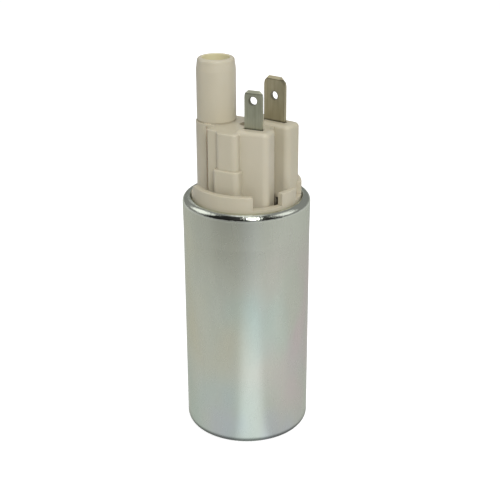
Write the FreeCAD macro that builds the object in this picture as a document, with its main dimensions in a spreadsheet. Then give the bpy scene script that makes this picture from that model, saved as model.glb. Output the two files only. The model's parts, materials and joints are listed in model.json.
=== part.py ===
import FreeCAD, Part
import Sketcher
import math
import os

# Electric in-tank fuel pump: steel case, moulded end cap with outlet and two blade terminals,
# permanent magnet motor and turbine pump stage. Millimetres, +Z up along the pump axis, origin
# at the middle of the case's foot. The outlet stands at -X and the terminals at +X.

DRIVING_SIZES = {
    # case
    "case_radius": 19.0,
    "case_height": 75.7,
    "case_wall": 1.6,
    "case_flare": 0.12,
    "flare_length": 9.0,
    "foot_round": 2.6,
    "foot_flat": 1.4,
    "shoulder_round": 1.9,
    "rim_flat": 0.62,
    # clearances
    "seat_gap": 0.1,
    "bearing_gap": 0.02,
    "brush_gap": 0.08,
    "slide_gap": 0.15,
    "ring_gap": 0.2,
    # end cap: heights, from the top of the case
    "moat_depth": 2.7,
    "sill_rise": 0.63,
    "wall_rise": 4.4,
    "deck_rise": 21.5,
    "tower_rise": 0.7,
    "step_drop": 10.9,
    "floor_thickness": 4.0,
    "skirt_length": 9.0,
    "skirt_wall": 2.5,
    # end cap: the ring and its walls, with angles from +X
    "ring_wall": 1.9,
    "left_wall_start": 228.0,
    "left_wall_span": 78.5,
    "right_wall_start": 339.0,
    "right_wall_span": 23.0,
    "corner_wall_start": 22.0,
    "corner_wall_span": 26.0,
    "back_wall_start": 74.0,
    "back_wall_span": 47.0,
    # end cap: plan
    "core_left": -7.1,
    "core_back": 6.4,
    "core_setback": 1.7,
    "web_right": 8.6,
    "front_tower_x": 6.3,
    "front_tower_y": -5.97,
    "front_tower_length": 10.6,
    "front_tower_width": 6.8,
    "rear_tower_x": 8.35,
    "rear_tower_y": 4.9,
    "rear_tower_length": 10.9,
    "rear_tower_width": 6.6,
    "tower_turn": 7.0,
    "tower_round": 1.8,
    "tower_top_round": 1.2,
    "foot_pocket_x": 9.7,
    "foot_pocket_width": 1.2,
    "foot_pocket_depth": 1.6,
    "foot_pocket_height": 2.8,
    "boss_length": 7.0,
    "boss_reach": 12.0,
    "boss_round": 1.6,
    "boss_step": 0.75,
    "edge_round": 0.5,
    "fine_round": 0.3,
    # outlet
    "outlet_x": -10.05,
    "column_margin": 0.2,
    "column_ledge": 0.32,
    "column_slot_x": -9.7,
    "column_slot_y": -6.2,
    "column_slot_turn": 122.0,
    "column_slot_depth": 1.2,
    "column_slot_width": 0.4,
    "column_slot_drop": 0.7,
    "spigot_radius": 5.83,
    "spigot_rise": 18.65,
    "spigot_taper": 3.4,
    "spigot_tip_radius": 5.4,
    "spigot_bore_radius": 4.05,
    "spigot_neck_depth": 0.25,
    "spigot_neck_height": 0.4,
    "tip_round_share": 0.7,
    "mouth_round_share": 0.2,
    "outlet_seat_rise": 0.8,
    "outlet_seat_radius": 2.3,
    "outlet_seat_thickness": 1.6,
    "outlet_feed_radius": 3.2,
    # terminals
    "wide_blade_width": 7.3,
    "wide_blade_rise": 13.8,
    "wide_blade_x": 6.7,
    "wide_blade_y": 5.3,
    "wide_blade_chamfer": 1.5,
    "wide_hole_drop": 5.6,
    "narrow_blade_width": 5.4,
    "narrow_blade_rise": 11.9,
    "narrow_blade_x": 5.75,
    "narrow_blade_y": -5.55,
    "narrow_blade_chamfer": 0.95,
    "narrow_hole_drop": 2.9,
    "blade_thickness": 1.0,
    "blade_hole_radius": 1.2,
    "blade_root": 6.2,
    "blade_bevel": 0.3,
    "blade_bevel_length": 0.75,
    "blade_foot_gap": 0.4,
    "blade_foot_depth": 0.6,
    "tab_width": 2.4,
    "tab_length": 3.0,
    # suppression chokes
    "choke_core_radius": 1.5,
    "choke_wire_radius": 0.4,
    "choke_well_radius": 2.7,
    "choke_inset": 2.0,
    "choke_turns": 9.0,
    # brushes
    "brush_offset": 9.0,
    "brush_length": 5.0,
    "brush_width": 4.4,
    "brush_height": 11.0,
    "brush_headroom": 9.42,
    "brush_spring_radius": 1.75,
    "brush_spring_wire": 0.25,
    "brush_spring_turns": 7.0,
    "spring_well_radius": 2.2,
    "spring_well_cover": 2.8,
    "lead_radius": 0.5,
    "lead_drop": 2.2,
    # rotor
    "shaft_radius": 2.0,
    "shaft_inset": 3.0,
    "shaft_flat": 0.5,
    "air_gap": 0.7,
    "rotor_room": 5.0,
    "slot_count": 8.0,
    "slot_mouth": 1.6,
    "tooth_tip": 1.2,
    "slot_inner_radius": 6.4,
    "slot_inner_width": 2.6,
    "slot_outer_width": 6.2,
    "insulator_thickness": 0.8,
    "winding_gap": 0.15,
    "winding_inner_radius": 5.0,
    "winding_inset": 0.9,
    "lower_end_turn": 3.8,
    "upper_end_turn": 3.2,
    "end_turn_round": 1.4,
    "commutator_height": 5.0,
    "commutator_inset": 1.0,
    "commutator_inner_radius": 5.6,
    "segment_thickness": 1.8,
    "segment_slit": 4.0,
    # bushes
    "bush_wall": 2.0,
    "bush_length": 6.0,
    "bush_protrusion": 0.5,
    "shaft_end_gap": 0.3,
    "bush_pocket_radius": 2.6,
    "bush_pocket_depth": 2.0,
    "bypass_reach": 1.2,
    "bypass_width": 1.6,
    # magnets
    "magnet_thickness": 3.7,
    "magnet_half_angle": 65.0,
    "clip_wire_radius": 0.5,
    "clip_gap": 0.3,
    "clip_foot": 7.0,
    "clip_head": 3.9,
    # pump stage
    "cover_thickness": 7.4,
    "cover_recess": 0.5,
    "inlet_margin": 0.25,
    "inlet_radius": 3.75,
    "thrust_disc_thickness": 1.0,
    "pump_ring_wall": 1.45,
    "impeller_thickness": 3.0,
    "impeller_gap": 0.06,
    "impeller_rim_gap": 0.25,
    "vane_count": 36.0,
    "vane_length": 2.2,
    "vane_slot_share": 0.727,
    "channel_inset": 0.2,
    "channel_width": 2.8,
    "channel_depth": 1.5,
    "channel_angle": 300.0,
    "housing_plate": 5.88,
    "magnet_seat": 2.0,
    # outlet valve
    "poppet_radius": 3.3,
    "poppet_head": 1.2,
    "poppet_stem_radius": 1.1,
    "valve_travel": 2.4,
    "valve_seal_thickness": 0.9,
    "guide_height": 4.0,
    "guide_floor": 1.0,
    "guide_wall": 0.9,
    "guide_window_radius": 3.1,
    "guide_window_count": 3.0,
    "guide_window_span": 80.0,
    "stem_engagement": 1.5,
    "valve_spring_radius": 2.3,
    "valve_spring_wire": 0.25,
    "valve_spring_turns": 5.0,
    # relief valve
    "relief_depth": 13.2,
    "relief_bore_radius": 1.9,
    "relief_feed_radius": 0.9,
    "relief_ball_radius": 1.5,
    "relief_travel": 1.5,
    "relief_plug_inset": 1.2,
    "relief_plug_bore": 0.8,
    "relief_spring_radius": 1.3,
    "relief_spring_wire": 0.25,
    "relief_spring_turns": 7.0,
    # seal
    "seal_section_radius": 0.7,
    "seal_drop": 2.5,
    "seal_groove_depth": 1.35,
}

# A cutting tool reaches this far past what it cuts
PAST = 1
# The share of a step that its rounding takes
STEP_ROUND_SHARE = 0.8
# The share of its length that the bend of a brush lead takes
LEAD_BEND_SHARE = 0.8
# Two measured places closer than this are the same
SAME = 1e-4

doc = FreeCAD.newDocument("FuelPump")
sheet = doc.addObject("Spreadsheet::Sheet", "Sizes")


class Size:
    """A length or an angle: its value now, and the expression that binds it to the sheet."""

    def __init__(self, value, text):
        self.value = value
        self.text = text

    def __add__(self, other):
        other = as_size(other)
        return Size(self.value + other.value, "(%s + %s)" % (self.text, other.text))

    def __sub__(self, other):
        other = as_size(other)
        return Size(self.value - other.value, "(%s - %s)" % (self.text, other.text))

    def __mul__(self, other):
        other = as_size(other)
        return Size(self.value * other.value, "(%s * %s)" % (self.text, other.text))

    def __truediv__(self, other):
        other = as_size(other)
        return Size(self.value / other.value, "(%s / %s)" % (self.text, other.text))

    def __neg__(self):
        return Size(-self.value, "(0 - %s)" % self.text)


def as_size(item):
    if isinstance(item, Size):
        return item
    return Size(float(item), "(%s)" % item)


known_sizes = {}


def note_size(alias, value, content):
    """Write one named cell into the sheet."""
    row = len(known_sizes) + 1
    sheet.set("A%d" % row, alias)
    sheet.set("B%d" % row, content)
    sheet.setAlias("B%d" % row, alias)
    known_sizes[alias] = Size(value, "Sizes.%s" % alias)
    return known_sizes[alias]


def size(alias):
    return known_sizes[alias]


def derive(alias, amount):
    """A size worked out from others, as a formula in the sheet."""
    return note_size(alias, amount.value, "=" + amount.text.replace("Sizes.", ""))


def root(square):
    return Size(square.value ** 0.5, "sqrt(%s)" % square.text)


def sine(angle):
    return Size(math.sin(math.radians(angle.value)), "sin(%s)" % angle.text)


def cosine(angle):
    return Size(math.cos(math.radians(angle.value)), "cos(%s)" % angle.text)


def heading(rise, run):
    """The angle from +X of a line that goes this far along Y and X."""
    angle = math.degrees(math.atan2(rise.value, run.value))
    return Size(angle, "atan2(%s; %s)" % (rise.text, run.text))


def bind(feature, path, amount):
    """Bind one property of a feature to the sheet."""
    feature.setExpression(path, as_size(amount).text)


ZERO = as_size(0)
for alias, number in DRIVING_SIZES.items():
    note_size(alias, number, str(number))

# Case and ring radii, from the case's outside inwards

case_inner = derive("case_inner", size("case_radius") - size("case_wall"))
piece_radius = derive("piece_radius", case_inner - size("seat_gap"))
foot_mouth = derive("foot_mouth", size("case_radius") - size("foot_round") - size("foot_flat"))
flared_radius = derive("flared_radius", size("case_radius") + size("case_flare"))
rim_mouth = derive("rim_mouth", flared_radius - size("shoulder_round") - size("rim_flat"))
ring_radius = derive("ring_radius", rim_mouth - size("ring_gap"))
ring_inner = derive("ring_inner", ring_radius - size("ring_wall"))

# Heights of the cap, from the top of the case

flange_top = derive("flange_top", size("case_height") - size("case_wall") - size("seat_gap"))
moat_floor = derive("moat_floor", size("case_height") - size("moat_depth"))
chamber_roof = derive("chamber_roof", moat_floor - size("floor_thickness"))
skirt_bottom = derive("skirt_bottom", chamber_roof - size("skirt_length"))
deck_top = derive("deck_top", size("case_height") + size("deck_rise"))
tower_top = derive("tower_top", deck_top + size("tower_rise"))
blade_bottom = derive("blade_bottom", deck_top - size("blade_root"))
spigot_top = derive("spigot_top", deck_top + size("spigot_rise"))
seal_height = derive("seal_height", flange_top - size("seal_drop"))
bush_top = derive("bush_top", chamber_roof + size("bush_protrusion") + size("bush_length"))

# Plan of the cap, drawn so that the outlet column ends a margin inside the ring's outside

column_reach = size("spigot_radius") + size("column_ledge") + size("column_margin")
plan_scale = derive("plan_scale", ring_radius / (column_reach - size("outlet_x")))


def across(alias):
    """A size in the plan of the cap or of the motor under it, which follows the ring."""
    return size(alias) * plan_scale


outlet_x = derive("outlet_place", across("outlet_x"))
column_radius = derive("column_radius", across("spigot_radius") + across("column_ledge"))

# Heights of the pump stage and the motor, from the foot up and from the chamber's roof down

cover_top = derive("cover_top", size("case_wall") + size("cover_thickness"))
shaft_bottom = derive("shaft_bottom", cover_top - size("shaft_inset"))
impeller_bottom = derive("impeller_bottom", cover_top + size("impeller_gap"))
impeller_top = derive("impeller_top", impeller_bottom + size("impeller_thickness"))
impeller_roof = derive("impeller_roof", impeller_top + size("impeller_gap"))
plate_top = derive("plate_top", impeller_roof + size("housing_plate"))
housing_top = derive("housing_top", plate_top + size("magnet_seat"))
core_bottom = derive("core_bottom", housing_top + size("rotor_room"))
lower_insulator = derive("lower_insulator", core_bottom - size("insulator_thickness"))
winding_bottom = derive("winding_bottom", lower_insulator - size("lower_end_turn"))
commutator_face = derive("commutator_face", chamber_roof - size("rotor_room"))
segment_bottom = derive("segment_bottom", commutator_face - size("segment_thickness"))
winding_top = derive("winding_top", commutator_face - size("commutator_height"))
upper_insulator = derive("upper_insulator", winding_top - size("upper_end_turn"))
core_top = derive("core_top", upper_insulator - size("insulator_thickness"))
magnet_top = derive("magnet_top", skirt_bottom - size("seat_gap"))
brush_bottom = derive("brush_bottom", commutator_face + size("brush_gap"))
brush_top = derive("brush_top", brush_bottom + size("brush_height"))
brush_well_top = derive("brush_well_top", brush_top + size("brush_headroom"))
spring_well_top = derive("spring_well_top", deck_top - size("spring_well_cover"))
choke_bottom = derive("choke_bottom", chamber_roof + size("choke_inset"))
choke_top = derive("choke_top", blade_bottom - size("tab_length"))

# Radii of the motor and the pump stage, from the case inwards

magnet_inner = derive("magnet_inner", piece_radius - across("magnet_thickness"))
rotor_radius = derive("rotor_radius", magnet_inner - across("air_gap"))
commutator_radius = derive("commutator_radius", rotor_radius - across("commutator_inset"))
bush_radius = derive("bush_radius", size("shaft_radius") + size("bush_wall"))
rim_inner = derive("rim_inner", piece_radius - size("pump_ring_wall"))
impeller_radius = derive("impeller_radius", rim_inner - size("impeller_rim_gap"))
channel_outer = derive("channel_outer", impeller_radius - size("channel_inset"))
channel_inner = derive("channel_inner", channel_outer - size("channel_width"))
inlet_offset = derive("inlet_offset", foot_mouth - size("inlet_margin") - size("inlet_radius"))

# Heights of the valves: at full travel the outlet valve's spring is closed up, and so is the
# relief valve's

seat_top = derive("seat_top", deck_top + size("outlet_seat_rise"))
poppet_bottom = derive("poppet_bottom", seat_top + size("valve_seal_thickness"))
poppet_top = derive("poppet_top", poppet_bottom + size("poppet_head"))
closed_valve_spring = across("valve_spring_wire") * 2 * size("valve_spring_turns")
guide_bottom = derive("guide_bottom", poppet_top + size("valve_travel") + closed_valve_spring)
guide_top = derive("guide_top", guide_bottom + size("guide_height"))
relief_seat = derive("relief_seat", deck_top - size("relief_depth"))
ball_radius = across("relief_ball_radius")
feed_radius = across("relief_feed_radius")
ball_height = root(ball_radius * ball_radius - feed_radius * feed_radius)
ball_centre = derive("ball_centre", relief_seat + ball_height + size("bearing_gap"))
relief_wire = across("relief_spring_wire")
relief_coil = across("relief_spring_radius")
wire_reach = ball_radius + relief_wire
wire_height = root(wire_reach * wire_reach - relief_coil * relief_coil)
relief_spring_bottom = derive("relief_spring_bottom", ball_centre + wire_height - relief_wire)
closed_relief_spring = relief_wire * 2 * size("relief_spring_turns")
plug_bottom = derive("plug_bottom", relief_spring_bottom + size("relief_travel") + closed_relief_spring)
plug_top = derive("plug_top", deck_top - size("relief_plug_inset"))

# Primitives and booleans

def cylinder(name, radius, bottom, top, x=ZERO, y=ZERO, span=None, start=ZERO):
    """An upright cylinder, or a sector of one that starts at an angle from +X."""
    feature = doc.addObject("Part::Cylinder", name)
    feature.Placement.Rotation = FreeCAD.Rotation(FreeCAD.Vector(0, 0, 1), 1)
    bind(feature, "Radius", radius)
    bind(feature, "Height", top - bottom)
    bind(feature, "Placement.Base.x", x)
    bind(feature, "Placement.Base.y", y)
    bind(feature, "Placement.Base.z", bottom)
    bind(feature, "Placement.Rotation.Angle", start)
    if span is not None:
        bind(feature, "Angle", span)
    return feature


def box(name, left, right, front, back, bottom, top):
    """An upright box between six planes."""
    feature = doc.addObject("Part::Box", name)
    bind(feature, "Length", right - left)
    bind(feature, "Width", back - front)
    bind(feature, "Height", top - bottom)
    bind(feature, "Placement.Base.x", left)
    bind(feature, "Placement.Base.y", front)
    bind(feature, "Placement.Base.z", bottom)
    return feature


def turned_box(name, x, y, turn, length, width, bottom, top):
    """An upright box centred on a point and turned about it."""
    body = padded_rectangle(name, length, width, None, bottom, top)
    place(body, x, y, ZERO, turn)
    return body


def fuse(name, pieces):
    feature = doc.addObject("Part::MultiFuse", name)
    feature.Shapes = pieces
    feature.Refine = True
    return feature


def cut(name, base, tool):
    feature = doc.addObject("Part::Cut", name)
    feature.Base = base
    feature.Tool = tool
    feature.Refine = True
    return feature


def common(name, pieces):
    feature = doc.addObject("Part::MultiCommon", name)
    feature.Shapes = pieces
    feature.Refine = True
    return feature


def ring_sector(name, inner, outer, bottom, top, start, span):
    """A part of a flat ring, between two radii and over an angle."""
    sector = cylinder(name + "_sector", outer, bottom, top, span=span, start=start)
    middle = cylinder(name + "_middle", inner, bottom - PAST, top + PAST)
    return cut(name, sector, middle)


# Bodies and sketches

def place(feature, x, y, z, turn):
    """Put a feature at a point, turned about the upright axis."""
    feature.Placement.Rotation = FreeCAD.Rotation(FreeCAD.Vector(0, 0, 1), 1)
    bind(feature, "Placement.Base.x", x)
    bind(feature, "Placement.Base.y", y)
    bind(feature, "Placement.Base.z", z)
    bind(feature, "Placement.Rotation.Angle", turn)


def new_sketch(body, name, plane="XY_Plane", offset=None):
    sketch = body.newObject("Sketcher::SketchObject", name)
    support = [item for item in body.Origin.OriginFeatures if item.Role == plane][0]
    sketch.AttachmentSupport = [(support, "")]
    sketch.MapMode = "FlatFace"
    if offset is not None:
        bind(sketch, "AttachmentOffset.Base.z", offset)
    return sketch


def drive(sketch, kind, references, amount):
    """Add one dimension to a sketch and bind it to the sheet."""
    amount = as_size(amount)
    index = sketch.addConstraint(Sketcher.Constraint(kind, *references, amount.value))
    bind(sketch, "Constraints[%d]" % index, amount)


def pin(sketch, element, point, x, y):
    """Fix a point of the sketch at a place measured from its origin."""
    x = as_size(x)
    y = as_size(y)
    if x.value == 0:
        sketch.addConstraint(Sketcher.Constraint("PointOnObject", element, point, -2))
    else:
        drive(sketch, "DistanceX", (-1, 1, element, point), x)
    if y.value == 0:
        sketch.addConstraint(Sketcher.Constraint("PointOnObject", element, point, -1))
    else:
        drive(sketch, "DistanceY", (-1, 1, element, point), y)


def vector(x, y):
    return FreeCAD.Vector(as_size(x).value, as_size(y).value, 0)


def draw_circle(sketch, x, y, radius):
    circle = Part.Circle(vector(x, y), FreeCAD.Vector(0, 0, 1), radius.value)
    element = sketch.addGeometry(circle, False)
    pin(sketch, element, 3, x, y)
    drive(sketch, "Radius", (element,), radius)


def draw_outline(sketch, corners):
    """A closed outline of straight sides through the corners."""
    count = len(corners)
    lines = []
    for index in range(count):
        start = vector(*corners[index])
        end = vector(*corners[(index + 1) % count])
        lines.append(sketch.addGeometry(Part.LineSegment(start, end), False))
    for index in range(count):
        following = lines[(index + 1) % count]
        sketch.addConstraint(Sketcher.Constraint("Coincident", lines[index], 2, following, 1))
    for line, (x, y) in zip(lines, corners):
        pin(sketch, line, 1, x, y)


def draw_rounded_rectangle(sketch, length, width, corner_round):
    """A rectangle about the sketch's origin, with round corners."""
    across = length / 2
    along = width / 2
    flat_x = across - corner_round
    flat_y = along - corner_round
    sides = [
        ((-flat_x, -along), (flat_x, -along)),
        ((across, -flat_y), (across, flat_y)),
        ((flat_x, along), (-flat_x, along)),
        ((-across, flat_y), (-across, -flat_y)),
    ]
    middles = [(flat_x, -flat_y), (flat_x, flat_y), (-flat_x, flat_y), (-flat_x, -flat_y)]
    lines = []
    for start, end in sides:
        line = sketch.addGeometry(Part.LineSegment(vector(*start), vector(*end)), False)
        pin(sketch, line, 1, *start)
        pin(sketch, line, 2, *end)
        lines.append(line)
    for index, middle in enumerate(middles):
        circle = Part.Circle(vector(*middle), FreeCAD.Vector(0, 0, 1), corner_round.value)
        first = (index - 1) * math.pi / 2
        arc = sketch.addGeometry(Part.ArcOfCircle(circle, first, first + math.pi / 2), False)
        following = lines[(index + 1) % 4]
        sketch.addConstraint(Sketcher.Constraint("Coincident", arc, 1, lines[index], 2))
        sketch.addConstraint(Sketcher.Constraint("Coincident", arc, 2, following, 1))
        drive(sketch, "Radius", (arc,), corner_round)


def pad(body, name, sketch, length, midplane=False):
    feature = body.newObject("PartDesign::Pad", name)
    feature.Profile = sketch
    feature.Midplane = midplane
    bind(feature, "Length", length)
    body.Tip = feature
    return feature


def pocket(body, name, sketch, length, reversed_cut):
    feature = body.newObject("PartDesign::Pocket", name)
    feature.Profile = sketch
    feature.Reversed = reversed_cut
    bind(feature, "Length", length)
    body.Tip = feature
    return feature


def padded_rectangle(name, length, width, corner_round, bottom, top):
    body = doc.addObject("PartDesign::Body", name)
    sketch = new_sketch(body, name + "_plan", offset=bottom)
    if corner_round is None:
        across = length / 2
        along = width / 2
        draw_outline(sketch, [(-across, -along), (across, -along), (across, along), (-across, along)])
    else:
        draw_rounded_rectangle(sketch, length, width, corner_round)
    pad(body, name + "_pad", sketch, top - bottom)
    return body


def turned(name, outline, span=None):
    """A body turned about the pump axis from an outline of (radius, height) corners."""
    body = doc.addObject("PartDesign::Body", name)
    sketch = new_sketch(body, name + "_profile", plane="XZ_Plane")
    draw_outline(sketch, outline)
    feature = body.newObject("PartDesign::Revolution", name + "_turn")
    feature.Profile = sketch
    feature.ReferenceAxis = (sketch, ["V_Axis"])
    if span is None:
        feature.Angle = 360
    else:
        bind(feature, "Angle", span)
    body.Tip = feature
    return body


def pattern(body, name, feature, count):
    """Repeat a feature evenly about the upright axis."""
    repeated = body.newObject("PartDesign::PolarPattern", name)
    repeated.Originals = [feature]
    axis = [item for item in body.Origin.OriginFeatures if item.Role == "Z_Axis"][0]
    repeated.Axis = (axis, [""])
    repeated.Angle = 360
    bind(repeated, "Occurrences", count)
    body.Tip = repeated
    return repeated


def ring_edge(edge, radius, height):
    """True for a round edge about the upright axis at this radius and height."""
    if not isinstance(edge.Curve, Part.Circle):
        return False
    centre = edge.Curve.Center
    on_axis = abs(centre.x) < SAME and abs(centre.y) < SAME
    at_radius = abs(edge.Curve.Radius - radius.value) < SAME
    return on_axis and at_radius and abs(centre.z - height.value) < SAME


def level_edge(edge, height):
    """True for an edge that lies wholly at one height."""
    bounds = edge.BoundBox
    return abs(bounds.ZMin - height.value) < SAME and abs(bounds.ZMax - height.value) < SAME


def picked_edges(feature, test):
    """The names of a feature's edges that a test picks."""
    doc.recompute()
    return ["Edge%d" % number for number, edge in enumerate(feature.Shape.Edges, start=1) if test(edge)]


def round_edges(body, name, test, radius):
    """Round the edges of a body's last feature that a test picks."""
    base = body.Tip
    feature = body.newObject("PartDesign::Fillet", name)
    feature.Base = (base, picked_edges(base, test))
    bind(feature, "Radius", radius)
    body.Tip = feature
    return feature


def bevel_edges(body, name, test, first, second):
    """Bevel the edges that a test picks, by one distance on each of an edge's two faces."""
    base = body.Tip
    feature = body.newObject("PartDesign::Chamfer", name)
    feature.Base = (base, picked_edges(base, test))
    feature.ChamferType = "Two distances"
    bind(feature, "Size", first)
    bind(feature, "Size2", second)
    body.Tip = feature
    return feature


def coil(name, radius, wire, bottom, top, turns, x=ZERO, y=ZERO):
    """A coil of round wire between two heights."""
    helix = doc.addObject("Part::Helix", name + "_line")
    height = top - bottom - wire * 2
    bind(helix, "Radius", radius)
    bind(helix, "Height", height)
    bind(helix, "Pitch", height / turns)
    section = doc.addObject("Part::Circle", name + "_section")
    section.Placement.Rotation = FreeCAD.Rotation(FreeCAD.Vector(1, 0, 0), 90)
    bind(section, "Radius", wire)
    bind(section, "Placement.Base.x", radius)
    swept = doc.addObject("Part::Sweep", name)
    swept.Sections = [section]
    swept.Spine = (helix, ["Edge1"])
    swept.Solid = True
    swept.Frenet = True
    bind(swept, "Placement.Base.x", x)
    bind(swept, "Placement.Base.y", y)
    bind(swept, "Placement.Base.z", bottom + wire)
    return swept


# Case

def make_case():
    """The steel tube, turned in over the cap at the top and over the inlet cover at the foot."""
    radius = size("case_radius")
    top = size("case_height")
    wall = size("case_wall")
    flare_top = top - size("shoulder_round")
    body = turned("case", [
        (foot_mouth, ZERO),
        (radius, ZERO),
        (radius, flare_top - size("flare_length")),
        (flared_radius, flare_top),
        (flared_radius, top),
        (rim_mouth, top),
        (rim_mouth, top - wall),
        (case_inner, top - wall),
        (case_inner, wall),
        (foot_mouth, wall),
    ])
    lip_round = size("rim_flat") * STEP_ROUND_SHARE
    round_edges(body, "foot_rounding", lambda edge: ring_edge(edge, radius, ZERO), size("foot_round"))
    round_edges(body, "rim_rounding", lambda edge: ring_edge(edge, flared_radius, top),
                size("shoulder_round"))
    round_edges(body, "lip_rounding", lambda edge: ring_edge(edge, rim_mouth, top), lip_round)
    return body


# End cap

def rounded_block(name, length, width, corner_round, bottom, top, top_round):
    """An upright block with round corners and a softened top edge."""
    body = padded_rectangle(name, length, width, corner_round, bottom, top)
    round_edges(body, name + "_top_rounding", lambda edge: level_edge(edge, top), top_round)
    return body


def make_towers():
    """The two hollow towers that carry the blade terminals."""
    towers = []
    for side, turn in (("front", size("tower_turn")), ("rear", -size("tower_turn"))):
        tower = rounded_block(
            side + "_tower",
            across(side + "_tower_length"),
            across(side + "_tower_width"),
            across("tower_round"),
            moat_floor,
            tower_top,
            across("tower_top_round"),
        )
        place(tower, across(side + "_tower_x"), across(side + "_tower_y"), ZERO, turn)
        towers.append(tower)
    return towers


def make_bosses():
    """The stepped boss round each brush well, one in front and one behind."""
    bosses = []
    inner = across("brush_offset") - across("brush_width")
    step_top = deck_top - size("step_drop")
    for side, sign in (("front", -1), ("rear", 1)):
        for part, grow, top in (("upper", ZERO, deck_top), ("lower", across("boss_step"), step_top)):
            reach = across("boss_reach") + grow
            boss = rounded_block(
                side + "_boss_" + part,
                across("boss_length") + grow * 2,
                reach - inner,
                across("boss_round"),
                moat_floor,
                top,
                across("edge_round"),
            )
            place(boss, ZERO, (reach + inner) / 2 * sign, ZERO, ZERO)
            bosses.append(boss)
    return bosses


def make_core_blocks():
    """The solid middle of the cap, and the web that joins its two towers."""
    left = across("core_left")
    right = across("boss_length") / 2
    front = across("core_setback") - across("boss_reach")
    back = across("core_back")
    middle = rounded_block("cap_middle", right - left, back - front, across("edge_round"),
                           moat_floor, deck_top, across("fine_round"))
    place(middle, (left + right) / 2, (front + back) / 2, ZERO, ZERO)
    web = box("cap_web", ZERO, across("web_right"), across("front_tower_y"), across("rear_tower_y"),
              moat_floor, deck_top)
    return [middle, web]


def make_outlet():
    """The outlet column and its smooth spigot, turned as one."""
    radius = across("spigot_radius")
    tip = across("spigot_tip_radius")
    bore = across("spigot_bore_radius")
    neck = radius - across("spigot_neck_depth")
    neck_top = deck_top + size("spigot_neck_height")
    body = turned("outlet", [
        (ZERO, moat_floor),
        (column_radius, moat_floor),
        (column_radius, deck_top),
        (neck, deck_top),
        (neck, neck_top),
        (radius, neck_top),
        (radius, spigot_top - size("spigot_taper")),
        (tip, spigot_top),
        (bore, spigot_top),
        (bore, seat_top),
        (ZERO, seat_top),
    ])
    tip_round = (tip - bore) * size("tip_round_share")
    mouth_round = (tip - bore) * size("mouth_round_share")
    ledge_round = across("column_ledge") * STEP_ROUND_SHARE
    round_edges(body, "tip_rounding", lambda edge: ring_edge(edge, tip, spigot_top), tip_round)
    round_edges(body, "mouth_rounding", lambda edge: ring_edge(edge, bore, spigot_top), mouth_round)
    round_edges(body, "ledge_rounding", lambda edge: ring_edge(edge, column_radius, deck_top), ledge_round)
    place(body, outlet_x, ZERO, ZERO, ZERO)
    return body


def make_ring_walls():
    """The higher stretches of the ring that stands up through the case's rim."""
    wall_top = size("case_height") + size("wall_rise")
    outline = [
        (ring_inner, moat_floor),
        (ring_radius, moat_floor),
        (ring_radius, wall_top),
        (ring_inner, wall_top),
    ]
    walls = []
    for name in ("left", "right", "corner", "back"):
        wall = turned(name + "_ring_wall", outline, span=size(name + "_wall_span"))
        round_edges(wall, name + "_wall_rounding", lambda edge: level_edge(edge, wall_top),
                    across("fine_round"))
        place(wall, ZERO, ZERO, ZERO, size(name + "_wall_start"))
        walls.append(wall)
    return walls


def make_cap_base():
    """The round base of the cap: skirt, flange under the rim, and the sill round the moat."""
    half_groove = size("seal_section_radius") + size("seat_gap")
    groove = piece_radius - size("seal_groove_depth")
    chamber = piece_radius - size("skirt_wall")
    sill_top = size("case_height") + size("sill_rise")
    return turned("cap_base", [
        (ZERO, chamber_roof),
        (chamber, chamber_roof),
        (chamber, skirt_bottom),
        (piece_radius, skirt_bottom),
        (piece_radius, seal_height - half_groove),
        (groove, seal_height - half_groove),
        (groove, seal_height + half_groove),
        (piece_radius, seal_height + half_groove),
        (piece_radius, flange_top),
        (ring_radius, flange_top),
        (ring_radius, sill_top),
        (ring_inner, sill_top),
        (ring_inner, moat_floor),
        (ZERO, moat_floor),
    ])


def make_brush_hollows(below):
    """The well of each brush, and above it the well of its spring."""
    hollows = []
    for side, sign in (("front", -1), ("rear", 1)):
        offset = across("brush_offset") * sign
        length = across("brush_length") + size("slide_gap") * 2
        width = across("brush_width") + size("slide_gap") * 2
        hollows.append(turned_box(side + "_brush_well", ZERO, offset, ZERO, length, width,
                                  below, brush_well_top))
        hollows.append(cylinder(side + "_spring_well", across("spring_well_radius"),
                                brush_well_top - PAST, spring_well_top, y=offset))
    return hollows


def make_terminal_hollows(below):
    """The slot that holds each blade, and the well of its choke."""
    hollows = []
    for blade, turn in (("wide", -size("tower_turn")), ("narrow", size("tower_turn"))):
        x = across(blade + "_blade_x")
        y = across(blade + "_blade_y")
        length = across(blade + "_blade_width") + size("bearing_gap") * 2
        width = size("blade_thickness") + size("bearing_gap") * 2
        gap = size("blade_foot_gap") * 2
        hollows.append(cylinder(blade + "_choke_well", across("choke_well_radius"), below,
                                blade_bottom, x=x, y=y))
        hollows.append(turned_box(blade + "_blade_slot", x, y, turn, length, width,
                                  blade_bottom, tower_top + PAST))
        hollows.append(turned_box(blade + "_foot_recess", x, y, turn, length + gap, width + gap,
                                  tower_top - size("blade_foot_depth"), tower_top + PAST))
    return hollows


def make_bush_hollows(below):
    """The seat of the upper bush, the room over it, and the way past it for the fuel."""
    pocket_top = bush_top + size("bush_pocket_depth")
    half_bypass = size("bypass_width") / 2
    return [
        cylinder("bush_bore", bush_radius + size("bearing_gap"), below, bush_top),
        cylinder("bush_pocket", size("bush_pocket_radius"), below, pocket_top),
        box("bush_bypass", ZERO, bush_radius + size("bypass_reach"), -half_bypass, half_bypass,
            below, pocket_top),
    ]


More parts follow.
